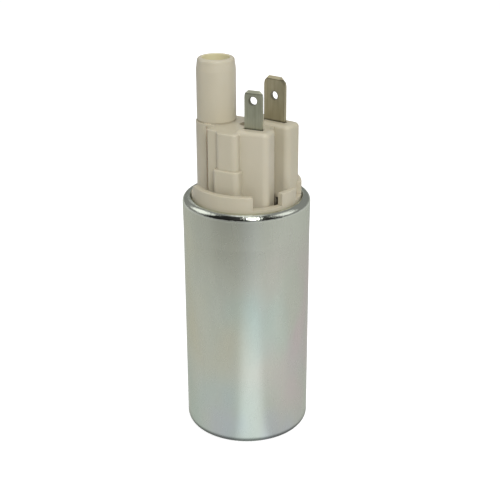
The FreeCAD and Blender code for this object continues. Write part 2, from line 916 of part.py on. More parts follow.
def make_valve_hollows(below):
    """The bores and seats of the relief valve and the outlet valve."""
    seat_bottom = seat_top - size("outlet_seat_thickness")
    return [
        cylinder("relief_feed", feed_radius, below, deck_top),
        cylinder("relief_bore", across("relief_bore_radius"), relief_seat, deck_top + PAST),
        cylinder("outlet_feed", across("outlet_feed_radius"), below, seat_bottom, x=outlet_x),
        cylinder("outlet_seat", across("outlet_seat_radius"), below, seat_top + PAST, x=outlet_x),
        cylinder("outlet_bore", across("spigot_bore_radius"), seat_top, deck_top + PAST * 2, x=outlet_x),
    ]


def make_column_slot():
    """The narrow slot down the outlet column, beside the middle block."""
    return turned_box(
        "column_slot",
        across("column_slot_x"),
        across("column_slot_y"),
        size("column_slot_turn"),
        across("column_slot_depth") * 2,
        across("column_slot_width"),
        moat_floor,
        deck_top - size("column_slot_drop"),
    )


def make_foot_pocket():
    """The small pocket in the foot of the rear tower's front wall, beside the web."""
    return turned_box(
        "foot_pocket",
        across("foot_pocket_x"),
        across("rear_tower_y") - across("rear_tower_width") / 2,
        -size("tower_turn"),
        across("foot_pocket_width"),
        across("foot_pocket_depth") * 2,
        moat_floor,
        moat_floor + size("foot_pocket_height"),
    )


def make_end_cap():
    """The moulded cap: one piece, from the skirt in the case to the spigot's mouth."""
    below = chamber_roof - PAST
    blocks = make_core_blocks() + make_towers() + make_bosses() + [make_outlet()]
    limit = cylinder("ring_limit", ring_radius, moat_floor, spigot_top + PAST)
    upper = common("cap_upper", [fuse("cap_blocks", blocks), limit])
    outside = fuse("cap_outside", [make_cap_base(), upper] + make_ring_walls())
    hollows = make_brush_hollows(below) + make_terminal_hollows(below)
    hollows += make_bush_hollows(below) + make_valve_hollows(below)
    hollows += [make_column_slot(), make_foot_pocket()]
    return cut("end_cap", outside, fuse("cap_inside", hollows))


# Terminals and suppression chokes

def make_blade(kind, turn):
    """A flat blade with cut corners and a hole, and a narrow tab at its foot."""
    half = across(kind + "_blade_width") / 2
    half_tab = across("tab_width") / 2
    chamfer = across(kind + "_blade_chamfer")
    top = deck_top + size(kind + "_blade_rise")
    body = doc.addObject("PartDesign::Body", kind + "_terminal")
    face = new_sketch(body, kind + "_blade_face", plane="XZ_Plane")
    draw_outline(face, [
        (-half_tab, choke_top),
        (half_tab, choke_top),
        (half_tab, blade_bottom),
        (half, blade_bottom),
        (half, top - chamfer),
        (half - chamfer, top),
        (chamfer - half, top),
        (-half, top - chamfer),
        (-half, blade_bottom),
        (-half_tab, blade_bottom),
    ])
    pad(body, kind + "_blade_sheet", face, size("blade_thickness"), midplane=True)
    hole = new_sketch(body, kind + "_blade_hole", plane="XZ_Plane")
    draw_circle(hole, ZERO, top - size(kind + "_hole_drop"), across("blade_hole_radius"))
    punched = pocket(body, kind + "_blade_punch", hole, size("blade_thickness") * 2, False)
    punched.Midplane = True

    def tip_edge(edge):
        bounds = edge.BoundBox
        return bounds.XLength > SAME and bounds.ZMin > (top - chamfer).value - SAME

    bevel_edges(body, kind + "_blade_tip", tip_edge, size("blade_bevel_length"), size("blade_bevel"))
    place(body, across(kind + "_blade_x"), across(kind + "_blade_y"), ZERO, turn)
    return body


def make_choke(kind):
    """A ferrite rod under the terminal's tab, with a coil of enamelled wire on it."""
    x = across(kind + "_blade_x")
    y = across(kind + "_blade_y")
    radius = across("choke_core_radius")
    wire = across("choke_wire_radius")
    rod = cylinder(kind + "_choke_core", radius, choke_bottom, choke_top, x=x, y=y)
    winding = coil(kind + "_choke_coil", radius + wire + size("bearing_gap") * 2, wire, choke_bottom,
                   choke_top, size("choke_turns"), x=x, y=y)
    return [rod, winding]


# Brushes

def make_brush(side, sign):
    """A carbon block with its spring, above the commutator."""
    offset = across("brush_offset") * sign
    length = across("brush_length")
    width = across("brush_width")
    block = padded_rectangle(side + "_brush", length, width, across("edge_round"), brush_bottom, brush_top)
    place(block, ZERO, offset, ZERO, ZERO)
    spring = coil(side + "_brush_spring", across("brush_spring_radius"), across("brush_spring_wire"),
                  brush_top + size("seat_gap"), spring_well_top - size("seat_gap"),
                  size("brush_spring_turns"), y=offset)
    return [block, spring]


def make_lead(side, kind, sign):
    """The short braided lead that runs from a brush's side to its choke, and turns up there."""
    radius = across("lead_radius")
    start_x = across("brush_length") / 2 + radius + size("slide_gap")
    start_y = across("brush_offset") * sign
    run = across(kind + "_blade_x") - start_x
    rise = across(kind + "_blade_y") - start_y
    length = root(run * run + rise * rise)
    level = chamber_roof - size("lead_drop")
    bend = size("lead_drop") * LEAD_BEND_SHARE
    top = choke_bottom - size("seat_gap")
    body = doc.addObject("PartDesign::Body", side + "_brush_lead")
    path = new_sketch(body, side + "_lead_path", plane="XZ_Plane")
    centre = (length - bend, level + bend)
    level_line = Part.LineSegment(vector(0, level), vector(length - bend, level))
    upright_line = Part.LineSegment(vector(length, level + bend), vector(length, top))
    circle = Part.Circle(vector(*centre), FreeCAD.Vector(0, 0, 1), bend.value)
    flat = path.addGeometry(level_line, False)
    turn = path.addGeometry(Part.ArcOfCircle(circle, -math.pi / 2, 0), False)
    upright = path.addGeometry(upright_line, False)
    pin(path, flat, 1, 0, level)
    pin(path, flat, 2, length - bend, level)
    pin(path, upright, 1, length, level + bend)
    pin(path, upright, 2, length, top)
    path.addConstraint(Sketcher.Constraint("Coincident", turn, 1, flat, 2))
    path.addConstraint(Sketcher.Constraint("Coincident", turn, 2, upright, 1))
    drive(path, "DistanceX", (-1, 1, turn, 3), centre[0])
    section = new_sketch(body, side + "_lead_section", plane="YZ_Plane")
    draw_circle(section, ZERO, level, radius)
    pipe = body.newObject("PartDesign::AdditivePipe", side + "_lead_wire")
    pipe.Profile = section
    pipe.Spine = (path, ["Edge1", "Edge2", "Edge3"])
    body.Tip = pipe
    place(body, start_x, start_y, ZERO, heading(rise, run))
    return body


# Rotor

def slot_outline(clearance):
    """One winding slot of the core, drawn about +X."""
    inner = across("slot_inner_radius") + clearance
    outer = rotor_radius - across("tooth_tip") - clearance
    inner_half = across("slot_inner_width") / 2 - clearance
    outer_half = across("slot_outer_width") / 2 - clearance
    return [(inner, -inner_half), (outer, -outer_half), (outer, outer_half), (inner, inner_half)]


def make_core_stack(name, bottom, top):
    """A slotted stack on the shaft."""
    body = doc.addObject("PartDesign::Body", name)
    plan = new_sketch(body, name + "_plan", offset=bottom)
    draw_circle(plan, ZERO, ZERO, rotor_radius)
    draw_circle(plan, ZERO, ZERO, size("shaft_radius"))
    pad(body, name + "_disc", plan, top - bottom)
    slot = new_sketch(body, name + "_slot_plan", offset=bottom)
    inner, outer_low, outer_high, inner_high = slot_outline(ZERO)
    mouth = across("slot_mouth") / 2
    open_end = rotor_radius + PAST
    draw_outline(slot, [inner, outer_low, (outer_low[0], -mouth), (open_end, -mouth),
                        (open_end, mouth), (outer_low[0], mouth), outer_high, inner_high])
    first = pocket(body, name + "_slot", slot, top - bottom, True)
    pattern(body, name + "_slots", first, size("slot_count"))
    return body


def make_windings():
    """The copper in the slots, with its end turns above and below the core."""
    bars = doc.addObject("PartDesign::Body", "winding_bars")
    plan = new_sketch(bars, "winding_bar_plan", offset=winding_bottom)
    draw_outline(plan, slot_outline(size("winding_gap")))
    first = pad(bars, "winding_bar", plan, winding_top - winding_bottom)
    pattern(bars, "winding_bar_ring", first, size("slot_count"))
    inner = across("winding_inner_radius")
    outer = rotor_radius - across("winding_inset")
    rings = []
    for name, bottom, top, crown in (("lower", winding_bottom, lower_insulator, winding_bottom),
                                     ("upper", upper_insulator, winding_top, winding_top)):
        ring = turned(name + "_end_turns", [(inner, bottom), (outer, bottom), (outer, top), (inner, top)])
        round_edges(ring, name + "_end_rounding",
                    lambda edge: ring_edge(edge, outer, crown) or ring_edge(edge, inner, crown),
                    size("end_turn_round"))
        rings.append(ring)
    return fuse("rotor_windings", [bars] + rings)


def make_shaft():
    """The motor shaft, with a flat at its lower end that drives the impeller."""
    radius = size("shaft_radius")
    rod = cylinder("shaft_rod", radius, shaft_bottom, bush_top - size("shaft_end_gap"))
    flat = box("shaft_flat_cut", radius - size("shaft_flat"), radius + PAST, -radius, radius,
               shaft_bottom - PAST, impeller_roof)
    return cut("shaft", rod, flat)


def make_commutator():
    """The face commutator: copper segments on a moulded hub."""
    inner = across("commutator_inner_radius")
    hub_bottom = winding_top + size("seat_gap")
    hub = turned("commutator_hub", [
        (size("shaft_radius"), hub_bottom),
        (commutator_radius, hub_bottom),
        (commutator_radius, segment_bottom),
        (inner, segment_bottom),
        (inner, commutator_face),
        (size("shaft_radius"), commutator_face),
    ])
    count = int(size("slot_count").value)
    pitch = as_size(360) / count
    segments = []
    for index in range(count):
        start = size("segment_slit") / 2 + pitch * index
        segments.append(ring_sector("segment_%d" % index, inner + size("bearing_gap"), commutator_radius,
                                    segment_bottom, commutator_face, start,
                                    pitch - size("segment_slit")))
    together = doc.addObject("Part::Compound", "commutator_segments")
    together.Links = segments
    return [hub, together]


# Stator and bearings

def make_magnets():
    magnets = []
    for name, middle in (("front", 270), ("rear", 90)):
        start = as_size(middle) - size("magnet_half_angle")
        magnets.append(ring_sector(name + "_magnet", magnet_inner, piece_radius, housing_top,
                                   magnet_top, start, size("magnet_half_angle") * 2))
    return magnets


def make_magnet_clip(name, sign):
    """A spring wire bent to a U, which pushes the two magnets apart."""
    end_angle = as_size(90) - size("magnet_half_angle")
    wire = size("clip_wire_radius")
    plane = piece_radius * cosine(end_angle) - wire
    magnet_end = plane * sine(end_angle) / cosine(end_angle)
    half = magnet_end - (wire + size("clip_gap")) / cosine(end_angle)
    foot = housing_top + size("clip_foot")
    crown = magnet_top - size("clip_head") - half
    body = doc.addObject("PartDesign::Body", name)
    path = new_sketch(body, name + "_path", plane="YZ_Plane")
    circle = Part.Circle(vector(0, crown), FreeCAD.Vector(0, 0, 1), half.value)
    left = path.addGeometry(Part.LineSegment(vector(-half, foot), vector(-half, crown)), False)
    bow = path.addGeometry(Part.ArcOfCircle(circle, 0, math.pi), False)
    right = path.addGeometry(Part.LineSegment(vector(half, crown), vector(half, foot)), False)
    pin(path, left, 1, -half, foot)
    pin(path, left, 2, -half, crown)
    pin(path, right, 1, half, crown)
    pin(path, right, 2, half, foot)
    path.addConstraint(Sketcher.Constraint("Coincident", bow, 1, right, 1))
    path.addConstraint(Sketcher.Constraint("Coincident", bow, 2, left, 2))
    drive(path, "DistanceY", (-1, 1, bow, 3), crown)
    section = new_sketch(body, name + "_section", offset=foot)
    draw_circle(section, ZERO, -half, wire)
    pipe = body.newObject("PartDesign::AdditivePipe", name + "_wire")
    pipe.Profile = section
    pipe.Spine = (path, ["Edge1", "Edge2", "Edge3"])
    body.Tip = pipe
    place(body, plane * sign, ZERO, ZERO, ZERO)
    return body


def make_bush(name, bottom, top):
    bush = cylinder(name + "_blank", bush_radius, bottom, top)
    bore = cylinder(name + "_bore", size("shaft_radius") + size("bearing_gap"), bottom - PAST, top + PAST)
    return cut(name, bush, bore)


# Pump stage

def make_inlet_cover():
    """The die-cast cover with the inlet, the thrust disc's pocket and the lower flow channel."""
    boss_radius = foot_mouth - size("seat_gap")
    blank = turned("cover_blank", [
        (ZERO, size("cover_recess")),
        (boss_radius, size("cover_recess")),
        (boss_radius, size("case_wall")),
        (piece_radius, size("case_wall")),
        (piece_radius, cover_top),
        (ZERO, cover_top),
    ])
    channel = ring_sector("lower_channel", channel_inner, channel_outer, cover_top - size("channel_depth"),
                          cover_top + PAST, ZERO, size("channel_angle"))
    inlet = cylinder("inlet_bore", size("inlet_radius"), ZERO, cover_top + PAST, x=inlet_offset)
    thrust = cylinder("thrust_pocket", size("shaft_radius") + size("slide_gap"),
                      shaft_bottom - size("thrust_disc_thickness"), cover_top + PAST)
    return cut("inlet_cover", blank, fuse("cover_hollows", [channel, inlet, thrust]))


def make_pump_housing():
    """The ring and plate over the impeller, which hold the lower bush and carry the magnets."""
    bush_seat = bush_radius + size("bearing_gap")
    blank = turned("housing_blank", [
        (bush_seat, impeller_roof),
        (rim_inner, impeller_roof),
        (rim_inner, cover_top),
        (piece_radius, cover_top),
        (piece_radius, housing_top),
        (magnet_inner, housing_top),
        (magnet_inner, plate_top),
        (bush_seat, plate_top),
    ])
    channel = ring_sector("upper_channel", channel_inner, channel_outer, impeller_roof - PAST,
                          impeller_roof + size("channel_depth"), ZERO, size("channel_angle"))
    middle = (channel_inner + channel_outer) / 2
    port_x = middle * cosine(size("channel_angle"))
    port_y = middle * sine(size("channel_angle"))
    port = cylinder("transfer_port", size("channel_width") / 2, impeller_roof - PAST,
                    housing_top + PAST, x=port_x, y=port_y)
    return cut("pump_housing", blank, fuse("housing_hollows", [channel, port]))


def make_impeller():
    """The turbine wheel: a disc with vanes round its rim and a flatted bore."""
    inner = impeller_radius - size("vane_length")
    half_slot = inner * math.pi / size("vane_count") * size("vane_slot_share")
    body = doc.addObject("PartDesign::Body", "impeller")
    plan = new_sketch(body, "impeller_plan", offset=impeller_bottom)
    draw_circle(plan, ZERO, ZERO, impeller_radius)
    pad(body, "impeller_disc", plan, size("impeller_thickness"))
    slot = new_sketch(body, "vane_slot_plan", offset=impeller_bottom)
    open_end = impeller_radius + PAST
    draw_outline(slot, [(inner, -half_slot), (open_end, -half_slot), (open_end, half_slot),
                        (inner, half_slot)])
    first = pocket(body, "vane_slot", slot, size("impeller_thickness"), True)
    pattern(body, "vanes", first, size("vane_count"))
    radius = size("shaft_radius")
    bore = cylinder("impeller_round_bore", radius, impeller_bottom - PAST, impeller_top + PAST)
    flat = box("impeller_flat", radius - size("shaft_flat"), radius + PAST, -radius, radius,
               impeller_bottom - PAST * 2, impeller_top + PAST * 2)
    return cut("impeller_wheel", body, cut("impeller_bore", bore, flat))


def make_thrust_disc():
    return cylinder("thrust_disc", size("shaft_radius"), shaft_bottom - size("thrust_disc_thickness"),
                    shaft_bottom - size("bearing_gap"))


# Valves and seal

def make_poppet():
    """The outlet valve's head and stem, with the rubber face under the head."""
    stem = across("poppet_stem_radius")
    head = across("poppet_radius")
    stem_top = guide_bottom + size("stem_engagement")
    poppet = turned("check_valve_poppet", [
        (ZERO, poppet_bottom),
        (head, poppet_bottom),
        (head, poppet_top),
        (stem, poppet_top),
        (stem, stem_top),
        (ZERO, stem_top),
    ])
    place(poppet, outlet_x, ZERO, ZERO, ZERO)
    face = cylinder("check_valve_seal", head, seat_top, poppet_bottom, x=outlet_x)
    return [poppet, face]


def make_valve_guide():
    """The cup pressed into the spigot: a hub for the stem, and windows round it for the fuel."""
    hole = across("poppet_stem_radius") + size("slide_gap")
    hub_radius = across("poppet_stem_radius") + across("guide_wall")
    outer = across("spigot_bore_radius") - size("bearing_gap")
    window_radius = across("guide_window_radius")
    floor_top = guide_bottom + size("guide_floor")
    cup = turned("guide_cup", [
        (hole, guide_bottom),
        (outer, guide_bottom),
        (outer, guide_top),
        (window_radius, guide_top),
        (window_radius, floor_top),
        (hub_radius, floor_top),
        (hub_radius, guide_top),
        (hole, guide_top),
    ])
    place(cup, outlet_x, ZERO, ZERO, ZERO)
    count = int(size("guide_window_count").value)
    windows = []
    for index in range(count):
        windows.append(cylinder("guide_window_%d" % index, window_radius, guide_bottom - PAST,
                                floor_top + PAST, x=outlet_x, span=size("guide_window_span"),
                                start=as_size(360) / count * index))
    hub = cylinder("guide_hub", hub_radius, guide_bottom - PAST * 2, floor_top + PAST * 2, x=outlet_x)
    openings = cut("guide_windows", fuse("guide_window_sectors", windows), hub)
    return cut("check_valve_guide", cup, openings)


def make_valve_spring():
    return coil("check_valve_spring", across("valve_spring_radius"), across("valve_spring_wire"),
                poppet_top + size("bearing_gap"), guide_bottom - size("bearing_gap"),
                size("valve_spring_turns"), x=outlet_x)


def make_relief_valve():
    """Ball, spring and hollow plug in the bore in the middle of the deck."""
    ball = doc.addObject("Part::Sphere", "relief_ball")
    bind(ball, "Radius", ball_radius)
    bind(ball, "Placement.Base.z", ball_centre)
    plug = cylinder("plug_blank", across("relief_bore_radius") - size("bearing_gap"), plug_bottom, plug_top)
    bore = cylinder("plug_bore", across("relief_plug_bore"), plug_bottom - PAST, plug_top + PAST)
    spring = coil("relief_spring", relief_coil, relief_wire, relief_spring_bottom + size("bearing_gap"),
                  plug_bottom, size("relief_spring_turns"))
    return [ball, cut("relief_plug", plug, bore), spring]


def make_cap_seal():
    seal = doc.addObject("Part::Torus", "cap_seal")
    bind(seal, "Radius1", case_inner - size("seal_section_radius") - size("bearing_gap"))
    bind(seal, "Radius2", size("seal_section_radius"))
    bind(seal, "Placement.Base.z", seal_height)
    return seal


# The pump

front_brush, front_brush_spring = make_brush("front", -1)
rear_brush, rear_brush_spring = make_brush("rear", 1)
wide_choke_core, wide_choke_coil = make_choke("wide")
narrow_choke_core, narrow_choke_coil = make_choke("narrow")
commutator_hub, commutator_segments = make_commutator()
front_magnet, rear_magnet = make_magnets()
poppet, poppet_face = make_poppet()
relief_ball, relief_plug, relief_spring = make_relief_valve()

SUB_PARTS = {
    "case": make_case(),
    "end_cap": make_end_cap(),
    "cap_seal": make_cap_seal(),
    "terminal_wide": make_blade("wide", -size("tower_turn")),
    "terminal_narrow": make_blade("narrow", size("tower_turn")),
    "choke_core_wide": wide_choke_core,
    "choke_coil_wide": wide_choke_coil,
    "choke_core_narrow": narrow_choke_core,
    "choke_coil_narrow": narrow_choke_coil,
    "brush_front": front_brush,
    "brush_rear": rear_brush,
    "brush_spring_front": front_brush_spring,
    "brush_spring_rear": rear_brush_spring,
    "brush_lead_front": make_lead("front", "narrow", -1),
    "brush_lead_rear": make_lead("rear", "wide", 1),
    "shaft": make_shaft(),
    "rotor_core": make_core_stack("rotor_core", core_bottom, core_top),
    "insulator_lower": make_core_stack("lower_insulator", lower_insulator, core_bottom),
    "insulator_upper": make_core_stack("upper_insulator", core_top, upper_insulator),
    "rotor_windings": make_windings(),
    "commutator_hub": commutator_hub,
    "commutator_segments": commutator_segments,
    "bush_upper": make_bush("upper_bush", bush_top - size("bush_length"), bush_top),
    "bush_lower": make_bush("lower_bush", impeller_roof, plate_top),
    "magnet_front": front_magnet,
    "magnet_rear": rear_magnet,
    "magnet_clip_outlet_side": make_magnet_clip("left_clip", -1),
    "magnet_clip_terminal_side": make_magnet_clip("right_clip", 1),
    "pump_housing": make_pump_housing(),
    "impeller": make_impeller(),
    "inlet_cover": make_inlet_cover(),
    "thrust_disc": make_thrust_disc(),
    "check_valve_poppet": poppet,
    "check_valve_seal": poppet_face,
    "check_valve_guide": make_valve_guide(),
    "check_valve_spring": make_valve_spring(),
    "relief_ball": relief_ball,
    "relief_plug": relief_plug,
    "relief_spring": relief_spring,
}

doc.recompute()

for feature in doc.Objects:
    if "Invalid" in feature.State or "Error" in feature.State:
        raise RuntimeError("%s did not build: %s" % (feature.Name, feature.State))

os.makedirs("parts", exist_ok=True)
for node, feature in SUB_PARTS.items():
    feature.Label = node
    shape = feature.Shape
    if shape.isNull() or not shape.isValid():
        raise RuntimeError("%s has no sound shape" % node)
    shape.exportStep("parts/%s.step" % node)
    print(node, "solids", len(shape.Solids), "volume", round(shape.Volume, 2))
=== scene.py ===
import json
import math

import bpy
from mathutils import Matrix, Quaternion, Vector


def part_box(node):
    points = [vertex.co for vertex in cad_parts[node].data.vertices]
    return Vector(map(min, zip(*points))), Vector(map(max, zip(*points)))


# The pump's looks: materials for every node, a white studio, and the camera of the photograph.
# Metres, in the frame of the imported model: +Z up along the pump axis, outlet at -X.

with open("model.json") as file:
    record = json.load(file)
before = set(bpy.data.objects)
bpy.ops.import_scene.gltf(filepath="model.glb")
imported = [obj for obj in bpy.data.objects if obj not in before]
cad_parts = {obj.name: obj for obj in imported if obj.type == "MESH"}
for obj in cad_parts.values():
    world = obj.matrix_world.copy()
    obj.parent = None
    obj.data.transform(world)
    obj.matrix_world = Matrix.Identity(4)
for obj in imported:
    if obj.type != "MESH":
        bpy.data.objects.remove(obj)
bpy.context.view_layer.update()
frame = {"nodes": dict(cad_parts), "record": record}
nodes = frame["nodes"]
MM = 0.001

# Places that the materials name: the cap's deck, the outlet's axis, the slot beside its column,
# and the small pocket at the foot of the rear terminal's tower.
case_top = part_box("case")[1].z
deck_rise = 21.5 * MM
cap_deck = case_top + deck_rise
outlet_axis = Vector((-10.05 * MM, 0.0, 0.0))
column_slot = Vector((-9.7 * MM, -6.2 * MM, 0.0))
foot_pocket = Vector((9.7 * MM, 1.6 * MM, case_top - 1.3 * MM))

# Angles in degrees: the way the photograph looks at the pump, and how far down.
front_azimuth = 30.0
camera_pitch = 22.95


def direction(azimuth, elevation=0.0):
    """A unit vector away from the pump, from degrees. Azimuth 0 is its front, and 90 is its right."""
    turn = math.radians(front_azimuth + azimuth)
    lift = math.radians(elevation)
    return Vector((math.sin(turn) * math.cos(lift), -math.cos(turn) * math.cos(lift), math.sin(lift)))


def place_in_scene(name, data):
    """A new object in the scene that shows this mesh, lamp or camera."""
    thing = bpy.data.objects.new(name, data)
    bpy.context.scene.collection.objects.link(thing)
    return thing


# Node building

def maths_node(tree, operation, first, second):
    """One sum of two values. Each is a number or the output of another node."""
    node = tree.nodes.new("ShaderNodeMath")
    node.operation = operation
    for socket, item in zip(node.inputs, (first, second)):
        if isinstance(item, (int, float)):
            socket.default_value = item
        else:
            tree.links.new(item, socket)
    return node.outputs["Value"]


class Surface:
    """A material's node tree, with short ways to add and join nodes."""

    def __init__(self, name, metallic, roughness):
        self.material = bpy.data.materials.new(name)
        self.material.use_nodes = True
        self.tree = self.material.node_tree
        self.shader = self.tree.nodes["Principled BSDF"]
        self.shader.inputs["Metallic"].default_value = metallic
        self.shader.inputs["Roughness"].default_value = roughness
        place = self.tree.nodes.new("ShaderNodeTexCoord")
        self.place = place.outputs["Object"]

    def add(self, kind, **settings):
        node = self.tree.nodes.new(kind)
        for key, value in settings.items():
            setattr(node, key, value)
        return node

    def join(self, output, target):
        self.tree.links.new(output, target)

    def stretched(self, scale):
        """The place on the object, scaled by so many features a metre along each axis."""
        mapping = self.add("ShaderNodeMapping")
        mapping.inputs["Scale"].default_value = scale
        self.join(self.place, mapping.inputs["Vector"])
        return mapping.outputs["Vector"]

    def noise(self, scale, detail=2.0, shift=0.0):
        """Cloudy noise from 0 to 1. The scale is in features a metre along x, y and z."""
        noise = self.add("ShaderNodeTexNoise", noise_dimensions="4D")
        noise.inputs["Scale"].default_value = 1.0
        noise.inputs["Detail"].default_value = detail
        noise.inputs["W"].default_value = shift
        self.join(self.stretched(scale), noise.inputs["Vector"])
        return noise.outputs["Fac"]

    def ramp(self, value, low, high, start=0.0, end=1.0):
        """A value that goes from start to end while the input goes from low to high."""
        node = self.add("ShaderNodeMapRange", interpolation_type="SMOOTHSTEP")
        node.inputs["From Min"].default_value = low
        node.inputs["From Max"].default_value = high
        node.inputs["To Min"].default_value = start
        node.inputs["To Max"].default_value = end
        self.join(value, node.inputs["Value"])
        return node.outputs["Result"]

    def maths(self, operation, first, second):
        return maths_node(self.tree, operation, first, second)

    def height(self):
        """The height above the foot, in metres."""
        split = self.add("ShaderNodeSeparateXYZ")
        self.join(self.place, split.inputs["Vector"])
        return split.outputs["Z"]

    def reach(self, centre, along=(1.0, 1.0, 1.0)):
        """The distance from a point, counted only along the axes that are 1."""
        flat = self.add("ShaderNodeVectorMath", operation="MULTIPLY")
        flat.inputs[1].default_value = along
        self.join(self.place, flat.inputs[0])
        node = self.add("ShaderNodeVectorMath", operation="DISTANCE")
        node.inputs[1].default_value = [c * a for c, a in zip(centre, along)]
        self.join(flat.outputs["Vector"], node.inputs[0])
        return node.outputs["Value"]

    def bearing(self, azimuth):
        """1 for places that lie this way from the pump's axis, and less to either side."""
        flat = self.add("ShaderNodeVectorMath", operation="MULTIPLY")
        flat.inputs[1].default_value = (1.0, 1.0, 0.0)
        self.join(self.place, flat.inputs[0])
        way = self.add("ShaderNodeVectorMath", operation="NORMALIZE")
        self.join(flat.outputs["Vector"], way.inputs[0])
        turn = self.add("ShaderNodeVectorMath", operation="DOT_PRODUCT")
        turn.inputs[1].default_value = direction(azimuth)
        self.join(way.outputs["Vector"], turn.inputs[0])
        return turn.outputs["Value"]

    def openness(self, distance):
        """1 on open faces, and less in creases narrower than the distance."""
        node = self.add("ShaderNodeAmbientOcclusion", samples=8, only_local=True)
        node.inputs["Distance"].default_value = distance
        return node.outputs["AO"]

    def blend(self, share, first, second):
        """A mix of two colours. Each is a colour or the output of another node."""
        node = self.add("ShaderNodeMix", data_type="RGBA")
        colours = [socket for socket in node.inputs if socket.type == "RGBA"]
        factor = [socket for socket in node.inputs if socket.type == "VALUE"][0]
        self.join(share, factor)
        for socket, item in zip(colours, (first, second)):
            if isinstance(item, tuple):
                socket.default_value = (*item, 1.0)
            else:
                self.join(item, socket)
        return [socket for socket in node.outputs if socket.type == "RGBA"][0]

    def colour(self, output):
        self.join(output, self.shader.inputs["Base Color"])

    def roughness(self, output):
        self.join(output, self.shader.inputs["Roughness"])

    def bump(self, height, distance):
        """Relief on the surface. The distance is the height of a full step, in metres."""
        node = self.add("ShaderNodeBump")
        node.inputs["Distance"].default_value = distance
        node.inputs["Strength"].default_value = 1.0
        self.join(height, node.inputs["Height"])
        self.join(node.outputs["Normal"], self.shader.inputs["Normal"])


def cloudy(name, dark, light, features, metallic=0.0, roughness=0.5, spread=0.1, relief=0.0):
    """A plain finish: two near colours in clouds, with uneven gloss and a little relief."""
    surface = Surface(name, metallic, roughness)
    clouds = surface.noise(features, detail=4.0)
    surface.colour(surface.blend(surface.ramp(clouds, 0.35, 0.65), dark, light))
    gloss = surface.noise(tuple(3.0 * scale for scale in features), detail=3.0, shift=5.0)
    surface.roughness(surface.ramp(gloss, 0.3, 0.7, roughness - spread / 2, roughness + spread / 2))
    if relief:
        grain = surface.noise(tuple(12.0 * scale for scale in features), detail=2.0, shift=9.0)
        surface.bump(grain, relief)
    return surface


# Materials

def tinted_cloud(surface, base, tint, azimuth, low, high, share, shift):
    """The base colour with a cloud of a tint over it, on one side of the case and between two heights."""
    patch = surface.noise((48.0, 48.0, 30.0), detail=2.0, shift=shift)
    patch = surface.ramp(patch, 0.36, 0.62, 0.0, share)
    side = surface.ramp(surface.bearing(azimuth), 0.3, 0.95)
    middle = Vector((0.0, 0.0, (low + high) / 2))
    span = high - low
    off_middle = surface.reach(middle, along=(0.0, 0.0, 1.0))
    band = surface.ramp(off_middle, 0.25 * span, 0.6 * span, 1.0, 0.0)
    cloud = surface.maths("MULTIPLY", surface.maths("MULTIPLY", patch, side), band)
    return surface.blend(cloud, base, tint)


def make_zinc_plate():
    """Satin zinc plate: faint clouds of green, blue, pink and straw, and a polished rolled rim."""
    dark_plate, light_plate = (0.56, 0.59, 0.50), (0.62, 0.65, 0.56)
    grain_colour, rim_colour = (0.4, 0.41, 0.37), (0.66, 0.69, 0.61)
    green, blue = (0.49, 0.65, 0.59), (0.56, 0.60, 0.65)
    pink, straw = (0.67, 0.59, 0.58), (0.63, 0.62, 0.48)
    rim_foot, rim_full = case_top - 2.2 * MM, case_top - 1.5 * MM
    surface = Surface("zinc_plated_steel", 1.0, 0.3)
    mottle = surface.noise((34.0, 34.0, 22.0), detail=3.0)
    base = surface.blend(surface.ramp(mottle, 0.3, 0.7), dark_plate, light_plate)
    base = tinted_cloud(surface, base, green, 18.0, 26.0 * MM, 54.0 * MM, share=0.7, shift=5.0)
    base = tinted_cloud(surface, base, blue, 10.0, -20.0 * MM, 34.0 * MM, share=0.85, shift=7.0)
    base = tinted_cloud(surface, base, straw, -60.0, 22.0 * MM, 76.0 * MM, share=0.9, shift=19.0)
    base = tinted_cloud(surface, base, green, -35.0, -8.0 * MM, 24.0 * MM, share=0.4, shift=23.0)
    base = tinted_cloud(surface, base, pink, 75.0, 4.0 * MM, 66.0 * MM, share=0.9, shift=13.0)
    base = tinted_cloud(surface, base, blue, -170.0, 0.0 * MM, 70.0 * MM, share=0.6, shift=29.0)
    grain = surface.noise((2600.0, 2600.0, 900.0), detail=2.0, shift=3.0)
    base = surface.blend(surface.ramp(grain, 0.2, 0.8, 0.0, 0.12), base, grain_colour)
    rim = surface.ramp(surface.height(), rim_foot, rim_full)
    surface.colour(surface.blend(rim, base, rim_colour))
    uneven = surface.noise((260.0, 260.0, 90.0), detail=3.0, shift=4.0)
    satin = surface.ramp(uneven, 0.3, 0.7, 0.24, 0.30)
    polish = surface.maths("MULTIPLY", rim, 0.12)
    surface.roughness(surface.maths("SUBTRACT", satin, polish))
    dents = surface.maths("MULTIPLY", surface.noise((2300.0,) * 3, detail=2.0, shift=8.0), rim)
    lines = surface.noise((1800.0, 1800.0, 60.0), detail=2.0, shift=6.0)
    deep_dents = surface.maths("MULTIPLY", dents, 5.0)
    fine_lines = surface.maths("MULTIPLY", lines, 0.35)
    surface.bump(surface.maths("ADD", deep_dents, fine_lines), 0.012 * MM)
    surface.shader.inputs["Specular Tint"].default_value = (0.8, 0.82, 0.78, 1.0)
    return surface


